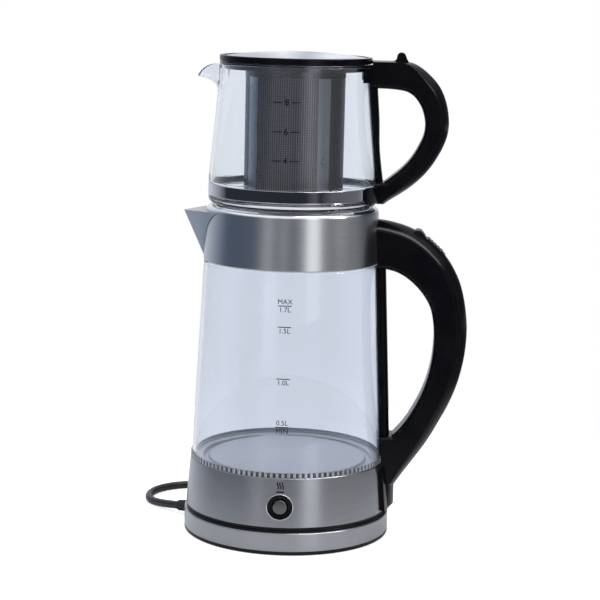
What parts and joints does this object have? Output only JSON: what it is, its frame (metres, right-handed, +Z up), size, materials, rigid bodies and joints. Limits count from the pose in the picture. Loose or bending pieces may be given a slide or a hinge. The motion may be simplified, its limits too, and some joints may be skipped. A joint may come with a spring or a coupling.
{
  "type": "automatic tea maker",
  "caption": "Glass teapot with infuser, hinged lid and side handle, seated on a glass and steel electric kettle with a spout and handle, on a round cordless power base.",
  "frame": {"origin": "on the kettle's vertical axis at the standing surface, in the plane of the base's foot ring", "axes": "+Z up, +X to both handles, -X to both pouring spouts, -Y to the front with the switch and the level marks"},
  "size_m": [0.2489, 0.244, 0.3615],
  "materials": {
    "black_plastic": "satin",
    "black_gloss": "gloss",
    "rubber": "matte",
    "brushed_steel": "brushed",
    "polished_steel": "polished",
    "satin_steel": "satin",
    "mesh_steel": "satin",
    "screw_steel": "satin",
    "spring_steel": "satin",
    "brass": "satin",
    "aluminium": "cast",
    "clear_glass": "clear",
    "silicone": "satin",
    "lead_sheath": "satin",
    "cord_sheath": "satin",
    "plug_metal": "satin",
    "button_cap": "gloss"
  },
  "bodies": {
    "power_base": {"base_tray": "black_plastic", "base_foot_ring": "rubber", "base_steel_ring": "brushed_steel", "base_deck": "black_plastic", "connector_post": "black_plastic", "post_contacts": "brass", "base_leads": "lead_sheath", "cord_clamp": "black_plastic", "base_screws": "screw_steel", "cord_gland": "rubber", "power_cord": "cord_sheath", "power_cord_coil": "cord_sheath", "power_cord_tail": "cord_sheath", "plug_body": "cord_sheath", "plug_pins": "plug_metal", "plug_earth_clips": "brass"},
    "kettle_coupler": {"coupler_socket": "black_plastic", "coupler_contacts": "brass"},
    "kettle": {"kettle_base_cover": "black_plastic", "lower_shell": "brushed_steel", "kettle_base_screws": "screw_steel", "trim_ring": "polished_steel", "lower_glass_seal": "silicone", "heating_plate": "satin_steel", "heat_spreader": "aluminium", "heating_element": "aluminium", "control_housing": "black_plastic", "thermostat_discs": "brass", "switch_housing": "black_plastic", "button_bezel": "black_plastic", "bezel_trim": "polished_steel", "power_button_spring": "spring_steel", "kettle_leads": "lead_sheath", "kettle_glass": "clear_glass", "upper_glass_seal": "silicone", "kettle_collar": "brushed_steel", "teapot_seat_ring": "silicone", "kettle_spout": "brushed_steel", "kettle_handle": "black_gloss", "kettle_spine": "black_gloss", "handle_screws": "screw_steel", "release_spring": "spring_steel"},
    "power_button": {"power_button": "button_cap"},
    "release_button": {"release_button": "black_plastic"},
    "teapot": {"teapot_glass": "clear_glass", "teapot_band": "polished_steel", "band_clamp": "black_gloss", "band_screw": "screw_steel", "teapot_handle": "black_gloss", "teapot_spine": "black_gloss", "lid_hinge_pin": "screw_steel", "infuser_basket": "mesh_steel", "infuser_rim": "black_plastic"},
    "lid": {"lid_rim": "black_gloss", "lid_dome": "polished_steel", "lid_seal": "silicone", "lid_lever": "black_gloss"}
  },
  "joints": [
    {"name": "kettle_lift", "type": "slide", "parent": "power_base", "child": "kettle_coupler", "axis": [0, 0, 1], "range_m": [0, 0.05]},
    {"name": "kettle_swivel", "type": "hinge", "parent": "kettle_coupler", "child": "kettle", "pos_m": [0, 0, 0.03], "axis": [0, 0, 1], "continuous": true},
    {"name": "power_button_push", "type": "slide", "parent": "kettle", "child": "power_button", "axis": [0, 1, 0], "range_m": [0, 0.0025], "stiffness_N_per_m": 500},
    {"name": "release_button_push", "type": "slide", "parent": "kettle", "child": "release_button", "axis": [-0.6347, 0, -0.7727], "range_m": [0, 0.0025], "stiffness_N_per_m": 600},
    {"name": "teapot_lift", "type": "slide", "parent": "kettle", "child": "teapot", "axis": [0, 0, 1], "range_m": [0, 0.05]},
    {"name": "lid_hinge", "type": "hinge", "parent": "teapot", "child": "lid", "pos_m": [0.0665, 0, 0.3506], "axis": [0, 1, 0], "range_deg": [0, 55]}
  ]
}
